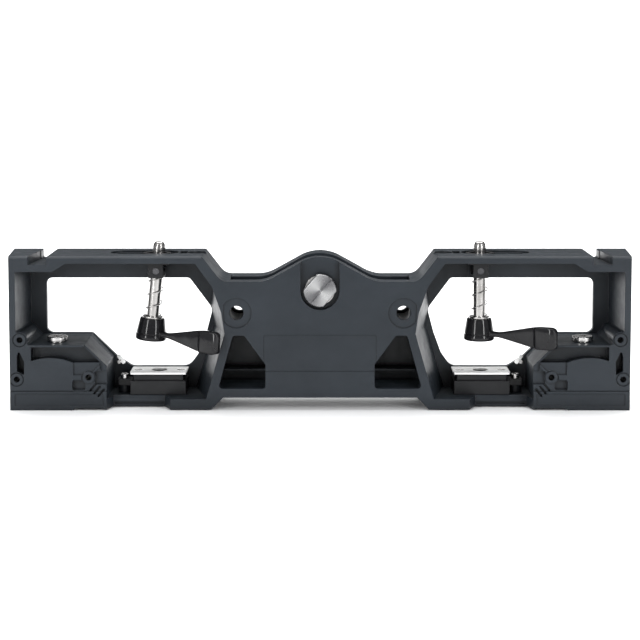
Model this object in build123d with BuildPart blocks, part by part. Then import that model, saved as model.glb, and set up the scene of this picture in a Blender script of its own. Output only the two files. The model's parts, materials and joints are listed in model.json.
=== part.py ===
from build123d import *
from math import cos, radians, sin
import os

os.makedirs("parts", exist_ok=True)

# ---------------------------------------------------------------- frame, overall
length = 392.0              # over the front corners
body_depth = 44.0           # front rim to back face
height = 98.1               # feet to the top face
half_length = length / 2

# depths behind the front rim
centre_wall = 11.5          # thickness of the front wall of the centre body
inner_box_depth = 27.0      # where the rear housing's centre box begins
parting_depth = 33.0        # where the two mouldings meet
rear_wall = 4.0             # thickness of the rear housing's back wall
parting_gap = 0.3

# moulded walls
wall = 4.5                  # rim, sides and struts
end_wall = 4.0              # outer wall of each end post
top_wall = 4.7              # top plate of each beam
floor_z = 7.2               # top of the bay floor
end_flare = 4.0             # the ends are wider at the back by this
edge_break = 1.4            # bevel along the top front edge

# centre body, from the middle plane outwards
crown_z = 97.2
crown_half = 7.0
valley_z = 81.9
valley_start = 34.5
valley_end = 61.9
beam_slope_run = 12.5
centre_base_z = 8.2
centre_floor_z = 13.9
waist_half = 60.2           # narrowest half width of the front wall
waist_z = 48.8
shoulder_half = 62.2
shoulder_z = 62.0
hip_half = 72.0             # half width of the front wall at the bay floor
side_flare = 9.0            # the side walls lean out by this towards the back

# feet
foot_width = 39.0
foot_step = 1.3
inner_foot_z = 0.6
inner_foot_end = 68.9
inner_foot_start = 94.7

# top notch near each end
notch_from_end = 12.2
notch_width = 11.7
notch_depth = 5.5
notch_taper = 3.0
notch_shelf = 4.4

# bolt holes through the centre
bolt_hole_radius = 4.45
bolt_hole_x = 52.7
bolt_hole_z = 62.1
bolt_land_radius = 9.6
bolt_land_depth = 1.0
bolt_tube_radius = 8.2
bolt_relief_radius = 6.2    # wider part of each bolt hole, inside the tube

# centre lock
lock_z = 76.5
lock_head_radius = 10.35
lock_flats = 16.4
lock_head_length = 4.6
lock_shank_radius = 5.0
lock_recess_radius = 12.3
lock_recess_depth = 4.0
lock_slot_width = 2.2
lock_slot_depth = 2.2
lock_slot_angle = 49.0
lock_clearance = 0.1
lock_washer_thickness = 1.0
lock_cam_radius = 12.4
lock_cam_width = 13.0
lock_cam_thickness = 5.0
lock_shank_length = 35.5

# weight-saving pockets and plain marker panels
pocket_inner = 34.5
pocket_outer = 64.4
pocket_top_inner = 47.8
pocket_top_outer = 55.0
pocket_top_z = 47.8
pocket_knee_z = 29.3
panel_depth = 0.5
label_half = 35.6
label_bottom = 24.9
label_top = 48.2

# rear housing
inner_box_base = 20.0
housing_gap = 0.4
rear_window_top = 79.3
rear_window_sill = 20.9
cover_radius = 18.0
cover_thickness = 3.0
cover_gap = 0.2
cover_ledge = 5.0
box_wall = 3.5
cover_screw_count = 3
cover_screw_radius = 1.3
cover_screw_head_radius = 2.2
cover_screw_head_height = 1.2
cover_screw_length = 9.0

# end block that holds the height screw
block_reach = 13.0          # from the rest plate's edge to the block's inner wall
shelf_z = 41.6
shelf_rear_rise = 1.0
shelf_slope_run = 13.9
block_shoulder_z = 28.0
block_recess_depth = 7.6
block_recess_floor = 31.5
shelf_lip = 1.2
slope_lip_setback = 2.5
boss_ring_width = 2.0
boss_ring_groove = 0.6
boss_pocket_depth = 3.4
boss_hole_radius = 1.9
boss_radius = 4.9

# clamping stud
stud_x = 103.8
stud_shift = -1.1           # both studs are slid this far to the left along their slots
stud_depth = 25.0
stud_radius = 4.0
stud_running = 0.05
pivot_z = 86.6
left_lean = 5.7
right_lean = 0.0
nose_top = 104.9
nose_length = 4.4            # rounded part of the stud's nose
nose_tip_radius = 1.9
insert_radius = 6.0
insert_bottom = 47.5
hub_top = 55.2
hub_bottom = 41.0
hub_top_radius = 7.45
hub_bottom_radius = 9.85
hub_shoulder_top = 47.3
hub_shoulder_bottom = 45.5

# slot and shoe that carry the stud
slot_centre = 112.4
slot_length = 37.0
slot_width = 11.2
seat_length = 44.0
seat_width = 19.6
seat_depth = 1.4
seat_centre_depth = 22.8
shoe_length = 16.0
shoe_clearance = 0.15
cheek_width = 9.4
cheek_thickness = 3.2
cheek_gap = 12.2
shoe_bottom = 82.2
shoe_bridge_bottom = 90.8
stud_opening_length = 12.4
stud_opening_width = 8.5
slot_washer_length = 18.0
slot_washer_width = 13.6
slot_washer_thickness = 0.9
sleeve_radius = 5.7
swivel_height = 6.4
trunnion_radius = 2.1

# springs and washers
spring_radius = 5.0
spring_wire = 0.5
spring_turns = 3
washer_radius = 6.6
washer_thickness = 1.0
washer_gap = 0.15
lever_spring_radius = 4.0
lever_spring_wire = 0.35
lever_screw_radius = 2.5
lever_screw_head_radius = 4.3
lever_screw_head_height = 1.2

# clamping lever
lever_reach = 56.0
lever_angle = -35.0         # swing of both levers from the frame's length, to the front
lever_neck_height = 3.4
lever_neck_width = 5.5
lever_neck_reach = 15.0
blade_height = 14.2
blade_length = 12.8
blade_thickness = 6.4
arm_z = 44.3

# rest stack under each stud
plate_length = 36.4
plate_width = 20.6
plate_thickness = 1.3
plate_top = 21.4
plate_hole_radius = 5.0
plate_screw_spacing = 27.2
plate_screw_radius = 1.5
plate_screw_head_radius = 2.8
sleeve_block_length = 35.8
sleeve_block_width = 22.0
sleeve_floor = 1.0
sleeve_block_top = 16.0
slide_length = 32.0
slide_width = 18.0
slide_clearance = 0.08
slide_floor_gap = 0.6
ear_length = 8.0
ear_width = 9.0
ear_height = 4.0
clamp_screw_head_radius = 2.7
clamp_screw_head_height = 3.0
clamp_screw_radius = 1.5

# height screw and foot
height_screw_from_end = 28.1
height_screw_depth = 14.5
height_screw_radius = 4.0
height_head_radius = 6.6
height_head_height = 2.8
height_socket_flats = 5.0
height_socket_depth = 2.0
bush_radius = 5.4
bush_length = 6.0
bush_proud = 0.5
head_gap = 0.4
foot_flats = 14.0
foot_height = 12.0
foot_pad_radius = 9.0
foot_pad_height = 3.0
foot_recess_gap = 0.3
foot_top_gap = 4.0
foot_floor = 1.5

# clips at the window corners
clip_thickness = 0.8
clip_width = 2.6
clip_length = 7.0
clip_rivet_radius = 0.8

# housing screws
housing_screw_radius = 1.75
housing_screw_head_radius = 3.6
housing_screw_head_height = 2.4
housing_screw_length = 26.0

# ---------------------------------------------------------------- derived sizes
lever_swing = radians(-lever_angle)
lever_proud = (lever_reach - blade_thickness / 2) * sin(lever_swing) + blade_thickness / 2 - stud_depth
front_y = -(body_depth - lever_proud) / 2
block_end_x = stud_x + plate_length / 2 + block_reach
notch_in = half_length - notch_from_end - notch_width
notch_out = half_length - notch_from_end - notch_taper
notch_floor_z = height - notch_depth
notch_under_z = notch_floor_z - notch_shelf
beam_end_x = valley_end + beam_slope_run
beam_under_z = height - top_wall
window_out = half_length - end_wall - 13.3
shelf_start_x = block_end_x + shelf_slope_run
stud_y = front_y + stud_depth
rear_y = front_y + body_depth
plate_bottom = plate_top - plate_thickness
screw_x = half_length - height_screw_from_end
screw_y = front_y + height_screw_depth
ear_x = stud_x + plate_length / 2 + 4.3
bosses = [
    (half_length - 6.5, shelf_z + 3.4, boss_radius),
    (half_length - 4.4, 19.8, boss_radius - 0.6),
    (block_end_x + 11.3, 21.1, boss_radius + 0.9),
]


def depth_plane(depth):
    """Plane parallel to the front rim, seen from the front; X is across and Y is up."""
    return Plane(origin=(0, front_y + depth, 0), x_dir=(1, 0, 0), z_dir=(0, -1, 0))


def stud_plane(side):
    """Plane through the stud's pivot, square to the stud's axis."""
    lean = radians(left_lean if side < 0 else right_lean)
    pivot = (side * stud_x + stud_shift, stud_y, pivot_z)
    return Plane(origin=pivot, x_dir=(cos(lean), 0, -sin(lean)), z_dir=(sin(lean), 0, cos(lean)))


def turned_plane(side, angle=0.0):
    """Plane that holds the stud's axis; X is the distance from the axis and Y is along it."""
    base = stud_plane(side)
    across = base.x_dir.rotate(Axis((0, 0, 0), base.z_dir), angle)
    return Plane(origin=base.origin, x_dir=across, z_dir=across.cross(base.z_dir))


def finish(name, builder):
    builder.part.label = name
    export_step(builder.part, f"parts/{name}.step")


# ---------------------------------------------------------------- body outlines
def outline(depth):
    """Right half of the body seen from the front, closed on the middle plane."""
    with BuildSketch(depth_plane(depth)) as profile:
        with BuildLine():
            top = FilletPolyline(
                (0, crown_z),
                (crown_half, crown_z),
                (valley_start, valley_z),
                (valley_end, valley_z),
                (beam_end_x, height),
                (notch_in, height),
                (notch_in, notch_floor_z),
                (notch_out, notch_floor_z),
                (notch_out, height),
                (half_length, height),
                (half_length, 0),
                (half_length - foot_width, 0),
                radius=[26, 24, 9, 1.5, 0.8, 0.6, 1.2, 0.8, 1.8, 1.5],
            )
            Polyline(
                top @ 1,
                (half_length - foot_width - 2 * foot_step, foot_step),
                (block_end_x + 2 * foot_step, foot_step),
                (block_end_x, inner_foot_z),
                (inner_foot_end, inner_foot_z),
                (inner_foot_end - (centre_base_z - inner_foot_z), centre_base_z),
                (0, centre_base_z),
                (0, crown_z),
            )
        make_face()
    return profile.sketch


def bay_section(depth):
    """Bay at one depth; its side walls lean out from the rim to the back wall."""
    draft = depth / (body_depth - rear_wall)
    lean_out = side_flare * draft
    end_x = half_length - end_wall - 3.0 * draft
    shelf = shelf_z + shelf_rear_rise * draft
    with BuildSketch(depth_plane(depth)) as section:
        with BuildLine():
            Polyline(
                (end_x, notch_under_z),
                (notch_in - 3.5, notch_under_z),
                (notch_in - 12.0, beam_under_z),
                (beam_end_x + 4.2, beam_under_z),
                (valley_end + 6.3 + 1.5 * draft, valley_z - 2.8),
                (shoulder_half + lean_out, shoulder_z),
                (waist_half + lean_out, waist_z),
                (hip_half + lean_out, floor_z),
                (block_end_x, floor_z),
                (block_end_x, block_shoulder_z),
                (shelf_start_x, shelf),
                (end_x - 8.0, shelf),
                (end_x, shelf_z + 9.0),
                close=True,
            )
        make_face()
    return section.sketch


def cut_bay():
    loft([bay_section(0), bay_section(body_depth - rear_wall)], ruled=True, mode=Mode.SUBTRACT)


def inner_box(depth, inset, base):
    """Inside of the centre body, drawn in from its walls by inset and open above."""
    side_slope = (hip_half - 3.5 - waist_half) / (waist_z - centre_floor_z)
    with BuildSketch(depth_plane(depth)) as section:
        with BuildLine():
            Polyline(
                (0, base),
                (waist_half - wall - inset + side_slope * (waist_z - base), base),
                (waist_half - wall - inset, waist_z),
                (shoulder_half - wall - 0.4 - inset, shoulder_z),
                (shoulder_half - wall - 0.4 - inset, height),
                (0, height),
                close=True,
            )
        make_face()
    return section.sketch


def add_end_flare(near, far):
    """Side wall that widens towards the back, between two depths."""
    flare = end_flare / body_depth
    with BuildSketch(Plane.XY) as wedge:
        with BuildLine():
            Polyline(
                (half_length - end_wall / 2, front_y + near),
                (half_length + flare * near, front_y + near),
                (half_length + flare * far, front_y + far),
                (half_length - end_wall / 2, front_y + far),
                close=True,
            )
        make_face()
    extrude(wedge.sketch, amount=height)


def bolt_circle(depth, radius):
    with BuildSketch(depth_plane(depth)) as circle:
        with Locations((bolt_hole_x, bolt_hole_z)):
            Circle(radius)
    return circle.sketch


def boss_circles(depth, radii):
    with BuildSketch(depth_plane(depth)) as circles:
        for (x, z, _), radius in zip(bosses, radii):
            with Locations((x, z)):
                Circle(radius)
    return circles.sketch


# ---------------------------------------------------------------- front frame
def cut_pocket(near, far, base):
    """Tapered pocket of the centre body, between two depths and above a base."""
    with BuildSketch(depth_plane(near)) as pocket:
        with BuildLine():
            FilletPolyline(
                (pocket_inner, centre_floor_z),
                (pocket_outer, centre_floor_z),
                (pocket_top_outer, pocket_top_z),
                (pocket_top_inner, pocket_top_z),
                (pocket_inner, pocket_knee_z),
                radius=2.0,
                close=True,
            )
        make_face()
        with Locations((0, base)):
            Rectangle(length, height, align=(Align.CENTER, Align.MAX), mode=Mode.SUBTRACT)
    extrude(pocket.sketch, amount=near - far, mode=Mode.SUBTRACT)


def cut_bolt_hole():
    """Through hole that is wider inside the tube than at the two walls."""
    extrude(bolt_circle(0, bolt_hole_radius), amount=-body_depth, mode=Mode.SUBTRACT)
    relief = bolt_circle(centre_wall, bolt_relief_radius)
    extrude(relief, amount=centre_wall + rear_wall - body_depth, mode=Mode.SUBTRACT)


def cut_bolt_land():
    """Round land at each bolt hole, with a flat on its outer side."""
    with BuildSketch(depth_plane(0)) as land:
        with Locations((bolt_hole_x, bolt_hole_z)):
            Circle(bolt_land_radius)
        with Locations((bolt_hole_x + bolt_land_radius - 1.3, bolt_hole_z)):
            Rectangle(4, 3 * bolt_land_radius, align=(Align.MIN, Align.CENTER), mode=Mode.SUBTRACT)
    extrude(land.sketch, amount=-bolt_land_depth, mode=Mode.SUBTRACT)


def cut_panels():
    """Plain marker panels: one on the centre wall and one along each foot."""
    with BuildSketch(depth_plane(0)) as panels:
        with Locations((0, (label_bottom + label_top) / 2)):
            RectangleRounded(2 * label_half, label_top - label_bottom, 1.0)
        with Locations(((block_end_x + half_length - 1.0) / 2, 6.7)):
            RectangleRounded(half_length - 5.0 - block_end_x, 7.8, 1.0)
    extrude(panels.sketch, amount=-panel_depth, mode=Mode.SUBTRACT)


def cut_lock_seat():
    """Round seat of the centre lock, open towards the crown, and its shaft bore."""
    with BuildSketch(depth_plane(0)) as seat:
        with Locations((0, lock_z)):
            Circle(lock_recess_radius)
            Rectangle(2 * lock_recess_radius, height, align=(Align.CENTER, Align.MIN))
    extrude(seat.sketch, amount=-lock_recess_depth, mode=Mode.SUBTRACT)
    cut_lock_bore()


def cut_lock_bore():
    with BuildSketch(depth_plane(0)) as bore:
        with Locations((0, lock_z)):
            Circle(lock_shank_radius + lock_clearance)
    extrude(bore.sketch, amount=-body_depth, mode=Mode.SUBTRACT)


def cut_block_recess():
    """Upper recess of the end block, under the lips of its shelf and its slope."""
    near_end = half_length - 13.5
    panel_end = screw_x - 12.0
    crest = ((near_end + panel_end) / 2, block_recess_floor + 2.0)
    under_shelf = shelf_z - shelf_lip
    low = block_recess_floor - 1.0
    slope = shelf_slope_run / (shelf_z - block_shoulder_z)
    slope_low = block_end_x + slope * (low - block_shoulder_z) + 1.5 * shelf_lip
    slope_high = block_end_x + slope * (under_shelf - block_shoulder_z) + 1.5 * shelf_lip
    with BuildSketch(depth_plane(0)) as recess:
        with BuildLine():
            ThreePointArc((near_end, block_recess_floor), crest, (panel_end, low))
            Polyline(
                (panel_end, low),
                (slope_low, low),
                (slope_high, under_shelf),
                (near_end, under_shelf),
                (near_end, block_recess_floor),
            )
        make_face()
    extrude(recess.sketch, amount=-block_recess_depth, mode=Mode.SUBTRACT)
    with BuildSketch(depth_plane(0)) as setback:
        with BuildLine():
            Polyline(
                (block_end_x - 1.0, block_shoulder_z - 4.0),
                (slope_low - 1.0, block_shoulder_z - 4.0),
                (slope_low, low),
                (slope_high, under_shelf),
                (shelf_start_x, shelf_z + 2.0),
                (block_end_x - 1.0, shelf_z + 2.0),
                close=True,
            )
        make_face()
    extrude(setback.sketch, amount=-slope_lip_setback, mode=Mode.SUBTRACT)


def cut_boss_fronts():
    """Grooves that set off each boss as a ring, and the pockets on both sides of the inner boss."""
    with BuildSketch(depth_plane(0)) as grooves:
        for x, z, _ in bosses:
            with Locations((x, z)):
                Circle(boss_hole_radius + boss_ring_width + boss_ring_groove)
                Circle(boss_hole_radius + boss_ring_width, mode=Mode.SUBTRACT)
    extrude(grooves.sketch, amount=-boss_ring_groove, mode=Mode.SUBTRACT)
    x, z, _ = bosses[2]
    with BuildSketch(depth_plane(0)) as pockets:
        with Locations((x + 6.2, z - 5.2)):
            RectangleRounded(8.0, 5.6, 0.8)
        with Locations((x - 7.6, z - 0.4)):
            Rectangle(7.4, 8.4)
        with Locations((x, z)):
            Circle(boss_hole_radius + boss_ring_width + boss_ring_groove, mode=Mode.SUBTRACT)
    extrude(pockets.sketch, amount=-boss_pocket_depth, mode=Mode.SUBTRACT)


def cut_block_front():
    """Lower relief of the end block: stepped cheek, pointed slot, grooves and foot line."""
    inner = block_end_x - 1.0
    panel_end = screw_x - 12.0
    foot_line = 12.3
    with BuildSketch(depth_plane(0)) as cheek:
        with Locations((inner, foot_line)):
            Rectangle(panel_end - inner, block_recess_floor - foot_line - 1, align=(Align.MIN, Align.MIN))
        with Locations((bosses[2][0] + 5.0, bosses[2][1])):
            Rectangle(10.0, 3.2, mode=Mode.SUBTRACT)
        with Locations(bosses[2][:2]):
            Circle(boss_hole_radius + boss_ring_width, mode=Mode.SUBTRACT)
            Rectangle(24.0, 1.4, rotation=135, align=(Align.MIN, Align.CENTER), mode=Mode.SUBTRACT)
    extrude(cheek.sketch, amount=-1.2, mode=Mode.SUBTRACT)
    with BuildSketch(depth_plane(0)) as slot:
        with BuildLine():
            FilletPolyline(
                (half_length - 6.4, 37.0),
                (half_length - 5.4, 37.0),
                (half_length - 4.6, 34.0),
                (half_length - 4.6, 25.0),
                (half_length - 9.0, 22.6),
                (half_length - 9.2, 31.0),
                radius=0.4,
                close=True,
            )
        make_face()
    extrude(slot.sketch, amount=-9.0, mode=Mode.SUBTRACT)
    with BuildSketch(depth_plane(0)) as grooves:
        for step in range(3):
            with Locations((block_end_x + 3.4 + 2.6 * step, 11.2 + 1.7 * step)):
                SlotOverall(6.6, 1.3, rotation=-50)
    extrude(grooves.sketch, amount=-3.0, mode=Mode.SUBTRACT)
    with BuildSketch(depth_plane(0)) as line:
        with Locations((block_end_x, foot_line)):
            Rectangle(half_length - block_end_x + 1, 0.6, align=(Align.MIN, Align.CENTER))
    extrude(line.sketch, amount=-0.5, mode=Mode.SUBTRACT)


def cut_lip():
    """Set-back front lip of the bay floor under the rest plate."""
    inner = inner_foot_start + 4.4
    outer = block_end_x - 3.2
    setback = front_y + 10.0
    with BuildSketch(Plane.XY) as notch:
        with BuildLine():
            Polyline(
                (inner - 4.4, front_y),
                (inner, setback),
                (outer, setback),
                (outer + 3.2, front_y),
                close=True,
            )
        make_face()
    extrude(notch.sketch, amount=floor_z + 1, mode=Mode.SUBTRACT)
    with BuildSketch(Plane.YZ.offset(inner - 0.5)) as slope:
        with BuildLine():
            Polyline(
                (setback - 0.1, floor_z - 3.1),
                (setback - 0.1, floor_z + 0.1),
                (setback + 3.1, floor_z + 0.1),
                close=True,
            )
        make_face()
    extrude(slope.sketch, amount=outer - inner + 1.0, mode=Mode.SUBTRACT)
    with BuildSketch(Plane.XY.offset(inner_foot_z + 1.6)) as groove:
        with Locations(((inner + outer) / 2, setback)):
            Rectangle(outer - inner - 1, 1.6)
    extrude(groove.sketch, amount=1.2, mode=Mode.SUBTRACT)


def cut_stud_seat():
    """Slot and shallow seat in the top plate for the sliding shoe, with two small pockets."""
    seat_y = front_y + seat_centre_depth
    with BuildSketch(Plane.XY.offset(height)) as seat:
        with Locations((slot_centre, seat_y)):
            SlotOverall(seat_length, seat_width)
    extrude(seat.sketch, amount=-seat_depth, mode=Mode.SUBTRACT)
    with BuildSketch(Plane.XY.offset(height)) as slot:
        with Locations((slot_centre, stud_y)):
            RectangleRounded(slot_length, slot_width, 1.0)
    extrude(slot.sketch, amount=-top_wall - 1, mode=Mode.SUBTRACT)
    with BuildSketch(Plane.XY.offset(height)) as pockets:
        with Locations((slot_centre - 34.4, seat_y)):
            Circle(7.2)
        with Locations((slot_centre - 25.0, seat_y)):
            Rectangle(4.6, 13)
    extrude(pockets.sketch, amount=-1.6, mode=Mode.SUBTRACT)


def cut_notch_taper():
    """The top notch is wider at the front by the taper of its outer side."""
    with BuildSketch(Plane.XY.offset(notch_floor_z)) as taper:
        with BuildLine():
            Polyline(
                (notch_out - 0.5, front_y),
                (notch_out + notch_taper, front_y),
                (notch_out - 0.5, rear_y),
                close=True,
            )
        make_face()
    extrude(taper.sketch, amount=height, mode=Mode.SUBTRACT)


def cut_top_edge():
    """Bevel along the top front edge of the beam."""
    with BuildSketch(Plane.YZ.offset(beam_end_x)) as bevel:
        with BuildLine():
            Polyline(
                (front_y - 0.1, height - edge_break - 0.1),
                (front_y - 0.1, height + 0.1),
                (front_y + edge_break + 0.1, height + 0.1),
                close=True,
            )
        make_face()
    extrude(bevel.sketch, amount=half_length, mode=Mode.SUBTRACT)


def cut_height_screw():
    """Bush bore, screw clearance and the keyed pocket of the levelling foot."""
    steps = [
        (height_screw_radius + 0.5, -1.0, shelf_z),
        (bush_radius, shelf_z - bush_length, shelf_z + 6),
        (foot_pad_radius + foot_recess_gap, -1.0, foot_pad_height + foot_recess_gap),
    ]
    for radius, low, high in steps:
        with BuildSketch(Plane.XY.offset(low)) as bore:
            with Locations((screw_x, screw_y)):
                Circle(radius)
        extrude(bore.sketch, amount=high - low, mode=Mode.SUBTRACT)
    with BuildSketch(Plane.XY.offset(-1)) as key:
        with Locations((screw_x, screw_y)):
            RegularPolygon(foot_flats / 2 + foot_recess_gap, 6, major_radius=False)
    extrude(key.sketch, amount=1 + foot_height + foot_top_gap, mode=Mode.SUBTRACT)


def add_ear_post():
    """Post on the bay floor that carries the rest sleeve's ear."""
    with BuildSketch(Plane.XY.offset(floor_z - 1)) as post:
        with Locations((ear_x, stud_y)):
            Circle(4.0)
    extrude(post.sketch, amount=sleeve_block_top - ear_height - floor_z + 1)
    with BuildSketch(Plane.XY.offset(sleeve_block_top - ear_height)) as hole:
        with Locations((ear_x, stud_y)):
            Circle(clamp_screw_radius)
    extrude(hole.sketch, amount=-6, mode=Mode.SUBTRACT)


def build_front_frame():
    with BuildPart() as front_frame:
        extrude(outline(0), amount=-parting_depth)
        add_end_flare(0, parting_depth)
        cut_bay()
        extrude(inner_box(centre_wall, 0, centre_floor_z), amount=centre_wall - parting_depth, mode=Mode.SUBTRACT)
        extrude(bolt_circle(centre_wall - 1, bolt_tube_radius), amount=centre_wall - 1 - parting_depth)
        extrude(boss_circles(0, [boss[2] for boss in bosses]), amount=-parting_depth)
        cut_pocket(0, centre_wall, centre_floor_z)
        cut_bolt_land()
        cut_panels()
        cut_lock_seat()
        cut_block_recess()
        cut_block_front()
        cut_boss_fronts()
        cut_lip()
        cut_stud_seat()
        cut_notch_taper()
        cut_top_edge()
        cut_height_screw()
        add_ear_post()
        cut_bolt_hole()
        extrude(boss_circles(0, [boss_hole_radius] * 3), amount=-body_depth, mode=Mode.SUBTRACT)
        mirror(about=Plane.YZ)
    finish("front_frame", front_frame)


# ---------------------------------------------------------------- rear housing
def cut_window():
    """Window through the back wall, smaller than the bay in front of it."""
    with BuildSketch(depth_plane(0)) as window:
        with BuildLine():
            FilletPolyline(
                (window_out, rear_window_top),
                (valley_end + 23.4, rear_window_top),
                (shoulder_half + 8.1, shoulder_z - 3.0),
                (waist_half + 14.0, waist_z - 4.8),
                (hip_half + 7.5, 29.5),
                (hip_half + 13.7, rear_window_sill),
                (block_end_x - 11.9, rear_window_sill),
                (block_end_x - 2.0, block_shoulder_z - 0.5),
                (shelf_start_x, shelf_z + 1.4),
                (window_out, shelf_z + 1.4),
                radius=[4, 3, 6, 12, 6, 8, 6, 3, 4, 4],
                close=True,
            )
        make_face()
    extrude(window.sketch, amount=-body_depth, mode=Mode.SUBTRACT)


def lock_circle(depth, radius):
    with BuildSketch(depth_plane(depth)) as circle:
        with Locations((0, lock_z)):
            Circle(radius)
    return circle.sketch


def cover_screw_circles(depth, radius):
    with BuildSketch(depth_plane(depth)) as circles:
        with Locations((0, lock_z)):
            with PolarLocations(cover_radius - cover_ledge / 2, cover_screw_count, start_angle=90):
                Circle(radius)
    return circles.sketch


def add_inner_box(near):
    """Centre box that stands forward into the front frame, under the crown's outline."""
    inside = inner_box(inner_box_depth, housing_gap, inner_box_base) & outline(inner_box_depth)
    extrude(inside, amount=inner_box_depth - near)


def cut_cover_cavity():
    """Round cavity for the lock's cam and the seat of its cover, cut from the back."""
    cavity_depth = body_depth - inner_box_depth - box_wall
    extrude(lock_circle(body_depth, cover_radius + cover_gap), amount=cover_thickness, mode=Mode.SUBTRACT)
    extrude(lock_circle(body_depth, cover_radius - cover_ledge), amount=cavity_depth, mode=Mode.SUBTRACT)
    holes = cover_screw_circles(body_depth, cover_screw_radius + 0.1)
    extrude(holes, amount=cover_screw_length + 1, mode=Mode.SUBTRACT)


def cut_housing_screw_seats():
    """Clearance holes and head counterbores for the screws that join the mouldings."""
    clearance = boss_circles(body_depth, [housing_screw_radius + 0.2] * 3)
    extrude(clearance, amount=body_depth - parting_depth, mode=Mode.SUBTRACT)
    seats = boss_circles(body_depth, [housing_screw_head_radius + 0.3] * 3)
    extrude(seats, amount=housing_screw_head_height + 0.4, mode=Mode.SUBTRACT)


def build_rear_housing():
    near = parting_depth + parting_gap
    with BuildPart() as rear_housing:
        extrude(outline(near), amount=near - body_depth)
        add_end_flare(near, body_depth)
        cut_bay()
        add_inner_box(near)
        tube = bolt_circle(inner_box_depth, bolt_tube_radius + housing_gap)
        extrude(tube, amount=inner_box_depth - near, mode=Mode.SUBTRACT)
        extrude(boss_circles(parting_depth, [boss[2] for boss in bosses]), amount=parting_depth - body_depth)
        cut_window()
        cut_pocket(inner_box_depth - 1, body_depth - rear_wall, inner_box_base + 1.5)
        cut_bolt_hole()
        cut_housing_screw_seats()
        mirror(about=Plane.YZ)
        cut_lock_bore()
        cut_cover_cavity()
    finish("rear_housing", rear_housing)


def build_rear_cover():
    with BuildPart() as rear_cover:
        extrude(lock_circle(body_depth, cover_radius), amount=cover_thickness)
        chamfer(rear_cover.faces().sort_by(Axis.Y)[-1].edges(), length=0.5)
        holes = cover_screw_circles(body_depth, cover_screw_radius + 0.2)
        extrude(holes, amount=cover_thickness, mode=Mode.SUBTRACT)
        seats = cover_screw_circles(body_depth, cover_screw_head_radius + 0.2)
        extrude(seats, amount=cover_screw_head_height + 0.2, mode=Mode.SUBTRACT)
    finish("rear_cover", rear_cover)


# ---------------------------------------------------------------- fasteners in the body
def build_housing_screws():
    """Six screws from the back that hold the two mouldings together."""
    head_face = body_depth - 0.4
    shoulder = head_face - housing_screw_head_height
    with BuildPart() as screws:
        extrude(boss_circles(head_face, [housing_screw_head_radius] * 3), amount=housing_screw_head_height)
        extrude(boss_circles(shoulder, [housing_screw_radius] * 3), amount=housing_screw_length)
        sockets = boss_circles(head_face, [1.5] * 3)
        extrude(sockets, amount=1.4, mode=Mode.SUBTRACT)
        mirror(about=Plane.YZ)
    finish("housing_screws", screws)


def build_cover_screws():
    head_face = body_depth - 0.2
    with BuildPart() as screws:
        extrude(cover_screw_circles(head_face, cover_screw_head_radius), amount=cover_screw_head_height)
        shanks = cover_screw_circles(head_face - cover_screw_head_height, cover_screw_radius)
        extrude(shanks, amount=cover_screw_length - 1)
    finish("cover_screws", screws)


# ---------------------------------------------------------------- centre lock
def build_centre_lock():
    """Slotted head with two flats on a shaft that runs through to the cam."""
    underside = lock_recess_depth - lock_washer_thickness
    face = underside - lock_head_length
    with BuildPart() as centre_lock:
        with BuildSketch(depth_plane(face)) as head:
            with Locations((0, lock_z)):
                Circle(lock_head_radius)
                Rectangle(3 * lock_head_radius, lock_flats, rotation=lock_slot_angle, mode=Mode.INTERSECT)
        extrude(head.sketch, amount=-lock_head_length)
        chamfer(centre_lock.faces().sort_by(Axis.Y)[0].edges(), length=0.5)
        extrude(lock_circle(underside, lock_shank_radius), amount=-lock_shank_length)
        with BuildSketch(depth_plane(face)) as slot:
            with Locations((0, lock_z)):
                Rectangle(3 * lock_head_radius, lock_slot_width, rotation=lock_slot_angle)
        extrude(slot.sketch, amount=-lock_slot_depth, mode=Mode.SUBTRACT)
    finish("centre_lock", centre_lock)


def build_lock_ring(name, near, thickness, outer):
    with BuildPart() as ring:
        extrude(lock_circle(near, outer), amount=-thickness)
        bore = lock_circle(near, lock_shank_radius + lock_clearance / 2)
        extrude(bore, amount=-thickness, mode=Mode.SUBTRACT)
    finish(name, ring)


def build_lock_cam():
    near = inner_box_depth + box_wall + 0.4
    with BuildPart() as lock_cam:
        with BuildSketch(depth_plane(near)) as blank:
            with Locations((0, lock_z)):
                SlotOverall(2 * lock_cam_radius, lock_cam_width, rotation=lock_slot_angle)
                Circle(lock_shank_radius, mode=Mode.SUBTRACT)
        extrude(blank.sketch, amount=-lock_cam_thickness)
    finish("lock_cam", lock_cam)


# ---------------------------------------------------------------- stud and its shoe
def turned(builder_plane, points):
    """Solid turned about the plane's upright axis from (radius, height) points."""
    with BuildPart() as solid:
        with BuildSketch(builder_plane) as profile:
            with BuildLine():
                Polyline(*points, close=True)
            make_face()
        spin_axis = Axis(builder_plane.origin, builder_plane.y_dir)
        revolve(profile.sketch, axis=spin_axis)
    return solid


def above_pivot(*points):
    """Turn (radius, height over the feet) into (radius, height over the pivot)."""
    return [(radius, z - pivot_z) for radius, z in points]


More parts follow.
